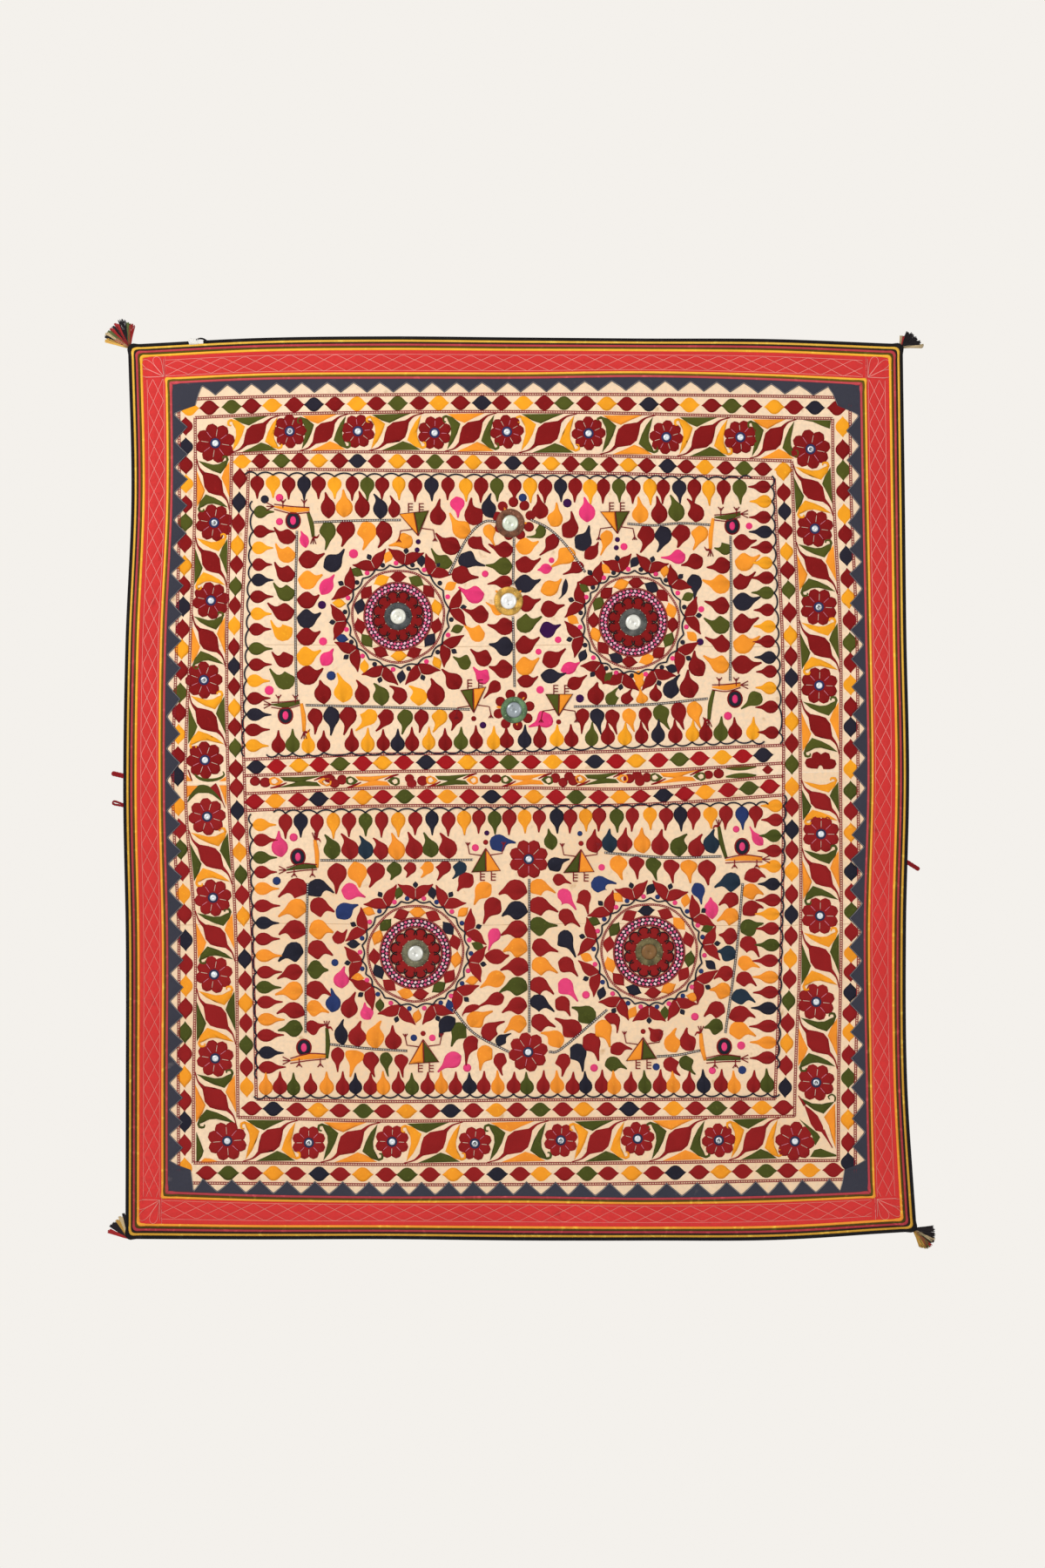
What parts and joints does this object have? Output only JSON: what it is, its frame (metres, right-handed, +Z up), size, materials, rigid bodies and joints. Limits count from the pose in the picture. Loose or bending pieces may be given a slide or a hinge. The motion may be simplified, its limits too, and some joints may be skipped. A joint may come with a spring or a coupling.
{
  "type": "embroidered wall hanging",
  "caption": "Square-ish cotton wall hanging with embroidered fields, small and large mirrors, sawtooth and quilted red borders, pipings, corner tassels and side loops.",
  "frame": {"origin": "middle of the top edge, in the middle of the cloth's thickness", "axes": "+Z up, +X to the right as the front is seen, -Y out of the embroidered front, +Y towards the wall"},
  "size_m": [1.5258, 0.0198, 1.7075],
  "materials": {
    "cream_cloth": "plain-weave cream cotton",
    "cream_cloth_aged": "plain-weave cream cotton, toned darker",
    "navy_cloth": "faded navy plain-weave cotton",
    "red_cloth": "red cotton, hand quilted in white thread",
    "black_piping": "folded black cotton strip",
    "gold_piping": "folded gold cotton strip",
    "dark_piping": "folded dark brown-black cotton strip",
    "red_piping": "folded faded red cotton strip",
    "olive_piping": "folded olive cotton strip",
    "yellow_piping": "folded yellow cotton strip",
    "copper_rim": "worn coppery sheet metal",
    "gold_rim": "worn gilt sheet metal",
    "green_rim": "verdigris on sheet metal",
    "grey_rim": "dulled grey sheet metal",
    "brown_rim": "tarnished greenish brown sheet metal",
    "mirror_glass": "small silvered glass",
    "brown_backing": "rusty brown backing where the glass is lost",
    "tassel_yarn": "cut cotton yarn in several colours",
    "loop_cord": "dark red twisted cotton cord",
    "maroon_thread": "maroon floss, satin and chain stitch",
    "yellow_thread": "yellow floss, satin stitch",
    "green_thread": "green floss, satin stitch",
    "navy_thread": "navy floss, satin and chain stitch",
    "pink_thread": "pink floss",
    "white_thread": "white cotton sewing and quilting thread"
  },
  "bodies": {
    "root": {"ground_upper": "cream_cloth", "ground_lower": "cream_cloth_aged", "sawtooth_top": "navy_cloth", "sawtooth_foot": "navy_cloth", "sawtooth_left": "navy_cloth", "sawtooth_right": "navy_cloth", "quilted_left": "red_cloth", "quilted_right": "red_cloth", "quilted_top": "red_cloth", "quilted_foot": "red_cloth", "piping_black": "black_piping", "piping_black_lift": "black_piping", "piping_gold": "gold_piping", "piping_dark": "dark_piping", "piping_red": "red_piping", "piping_olive": "olive_piping", "piping_yellow": "yellow_piping", "inner_yellow": "yellow_piping", "inner_olive": "olive_piping", "inner_pink": "red_piping", "mirror_rim_1": "copper_rim", "mirror_rim_2": "gold_rim", "mirror_rim_3": "green_rim", "mirror_rim_4": "grey_rim", "mirror_rim_5": "grey_rim", "mirror_rim_6": "grey_rim", "mirror_rim_7": "brown_rim", "mirror_pane_1": "mirror_glass", "mirror_pane_2": "mirror_glass", "mirror_pane_3": "mirror_glass", "mirror_pane_4": "mirror_glass", "mirror_pane_5": "mirror_glass", "mirror_pane_6": "mirror_glass", "mirror_pane_7": "brown_backing", "tassel_top_left": "tassel_yarn", "tassel_top_right": "tassel_yarn", "tassel_foot_left": "tassel_yarn", "tassel_foot_right": "tassel_yarn", "loop_left_upper": "loop_cord", "loop_left_lower": "loop_cord", "loop_right": "loop_cord"}
  },
  "joints": []
}
